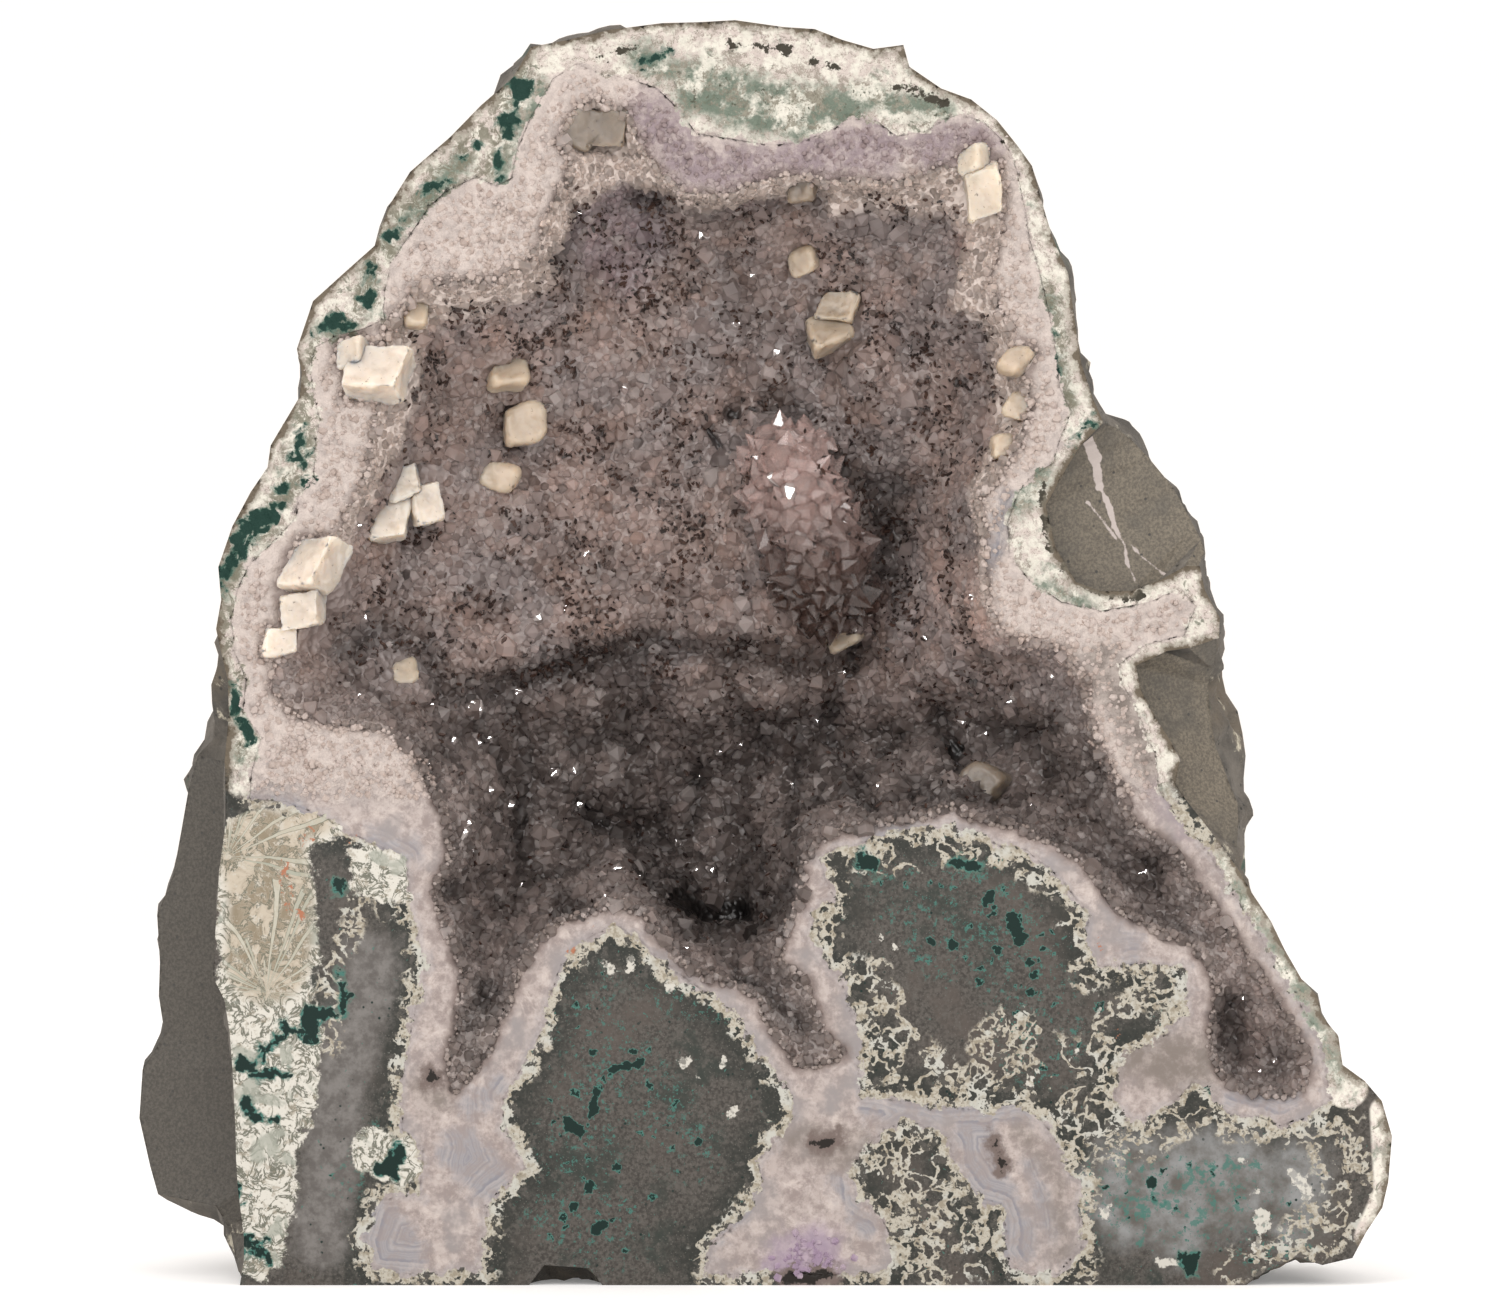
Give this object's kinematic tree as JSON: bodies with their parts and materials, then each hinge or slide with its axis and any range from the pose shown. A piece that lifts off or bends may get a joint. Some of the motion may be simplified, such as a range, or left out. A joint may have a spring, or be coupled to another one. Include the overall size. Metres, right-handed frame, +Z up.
{
  "type": "amethyst geode",
  "caption": "Amethyst geode standing on a flat cut base, with a sawn basalt face and a quartz-lined hollow set with calcite crystals.",
  "frame": {"origin": "middle of the outline's box on the plane that the geode stands on", "axes": "+Z up from the cut base, -Y out of the sawn face, +X to the right when looking at the sawn face"},
  "size_m": [0.3336, 0.1868, 0.3341],
  "materials": {
    "basalt": "sawn and polished on the front, rough natural skin behind, pale weathered rind round the rim",
    "quartz": "druzy glassy points, sawn pale veins, slightly translucent",
    "calcite": "cream cleavage faces, satin"
  },
  "bodies": {
    "root": {"basalt_matrix": "basalt", "calcite_back_pair": "calcite", "calcite_back_small": "calcite", "calcite_below_finger": "calcite", "calcite_edge_cluster": "calcite", "calcite_left_blade": "calcite", "calcite_left_chip": "calcite", "calcite_left_cluster": "calcite", "calcite_left_pocket": "calcite", "calcite_left_rim": "calcite", "calcite_lower_ledge": "calcite", "calcite_right_lower": "calcite", "calcite_right_middle": "calcite", "calcite_right_rim": "calcite", "calcite_right_upper": "calcite", "calcite_top_pocket": "calcite", "calcite_under_rim": "calcite", "calcite_upper_block": "calcite", "calcite_upper_small": "calcite", "quartz_crust": "quartz"}
  },
  "joints": []
}
